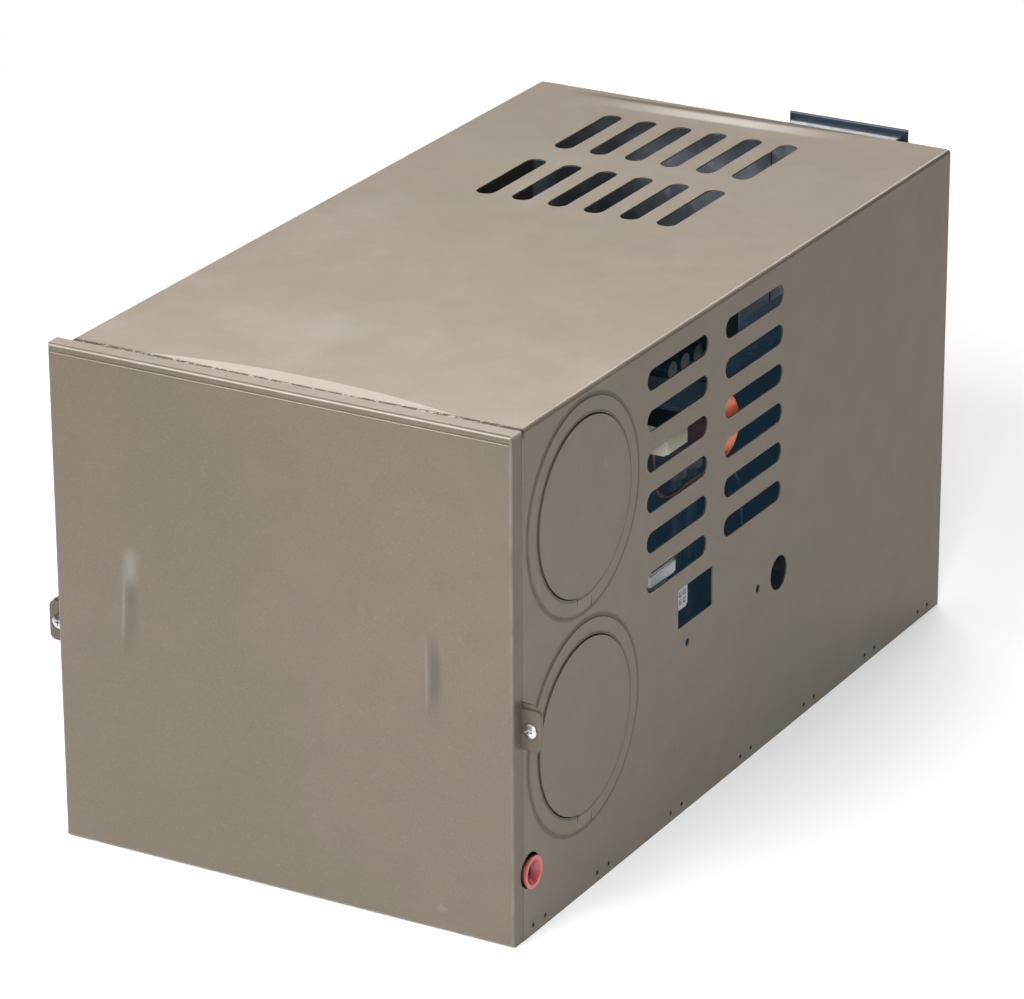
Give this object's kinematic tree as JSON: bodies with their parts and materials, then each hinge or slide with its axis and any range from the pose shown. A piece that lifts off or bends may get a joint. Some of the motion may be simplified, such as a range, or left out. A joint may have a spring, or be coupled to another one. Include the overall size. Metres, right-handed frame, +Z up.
{
  "type": "forced air gas furnace",
  "caption": "Ducted direct-vent gas furnace: slotted steel cabinet with front access panel, side duct knock-outs, rear vent collar, heat exchanger and blower inside.",
  "frame": {"origin": "on the floor under the centre of the whole object's box", "axes": "+Z up, the front panel faces -Y and the vent collar +Y, +X is the side with the gas inlet and wire window"},
  "size_m": [0.3302, 0.592, 0.312],
  "materials": {
    "painted_sheet": "satin, pinkish taupe",
    "galvanised_sheet": "zinc coated, dull",
    "zinc_screw": "bright zinc",
    "dark_steel": "dark, satin",
    "aluminised_steel": "heat dulled",
    "brass": "machined",
    "white_plastic": "moulded",
    "black_plastic": "moulded",
    "red_plastic": "moulded",
    "coil_red": "varnished winding cover",
    "die_cast": "as cast",
    "circuit_board": "solder mask",
    "relay_case": "moulded",
    "ceramic": "glazed",
    "orange_wire": "insulation",
    "blue_wire": "insulation"
  },
  "bodies": {
    "cabinet": {"cabinet_wrap": "painted_sheet", "base_pan": "galvanised_sheet", "rear_panel": "galvanised_sheet", "cabinet_ears": "dark_steel", "base_rivets": "dark_steel", "bulkhead": "galvanised_sheet", "vent_collar": "galvanised_sheet", "collar_screws": "zinc_screw", "exhaust_tube": "galvanised_sheet", "intake_tube": "galvanised_sheet", "heat_exchanger_front": "aluminised_steel", "heat_exchanger_rear": "aluminised_steel", "burner": "aluminised_steel", "burner_box": "galvanised_sheet", "electrode": "ceramic", "gas_orifice": "brass", "gas_manifold": "dark_steel", "gas_valve": "die_cast", "solenoid_coils": "coil_red", "gas_pipe": "dark_steel", "inlet_fitting": "brass", "blower_housing": "galvanised_sheet", "inlet_ring": "galvanised_sheet", "combustion_housing": "galvanised_sheet", "motor": "dark_steel", "motor_bracket": "galvanised_sheet", "control_bracket": "galvanised_sheet", "module_board": "circuit_board", "relay": "relay_case", "terminal_block": "white_plastic", "limit_switch": "black_plastic", "sail_switch": "black_plastic", "circuit_breaker": "black_plastic", "wiring_connector": "white_plastic", "orange_wires": "orange_wire", "blue_wires": "blue_wire"},
    "front_panel": {"front_panel": "painted_sheet", "panel_screws": "zinc_screw"},
    "blower_rotor": {"motor_shaft": "zinc_screw", "room_air_wheel": "galvanised_sheet", "combustion_wheel": "galvanised_sheet"},
    "sail_paddle": {"sail_paddle": "zinc_screw"},
    "breaker_button": {"breaker_button": "white_plastic"},
    "inlet_cap": {"inlet_cap": "red_plastic"}
  },
  "joints": [
    {"name": "panel_off", "type": "slide", "parent": "cabinet", "child": "front_panel", "axis": [0, -1, 0], "range_m": [0, 0.15]},
    {"name": "blower_spin", "type": "hinge", "parent": "cabinet", "child": "blower_rotor", "pos_m": [0, 0.049, 0.135], "axis": [1, 0, 0], "continuous": true},
    {"name": "sail_swing", "type": "hinge", "parent": "cabinet", "child": "sail_paddle", "pos_m": [-0.079, -0.146, 0.097], "axis": [-1, 0, 0], "range_deg": [0, 25], "stiffness_Nm_per_rad": 0.004},
    {"name": "breaker_trip", "type": "slide", "parent": "cabinet", "child": "breaker_button", "axis": [1, 0, 0], "range_m": [0, 0.003]},
    {"name": "cap_off", "type": "slide", "parent": "cabinet", "child": "inlet_cap", "axis": [1, 0, 0], "range_m": [0, 0.03]}
  ]
}
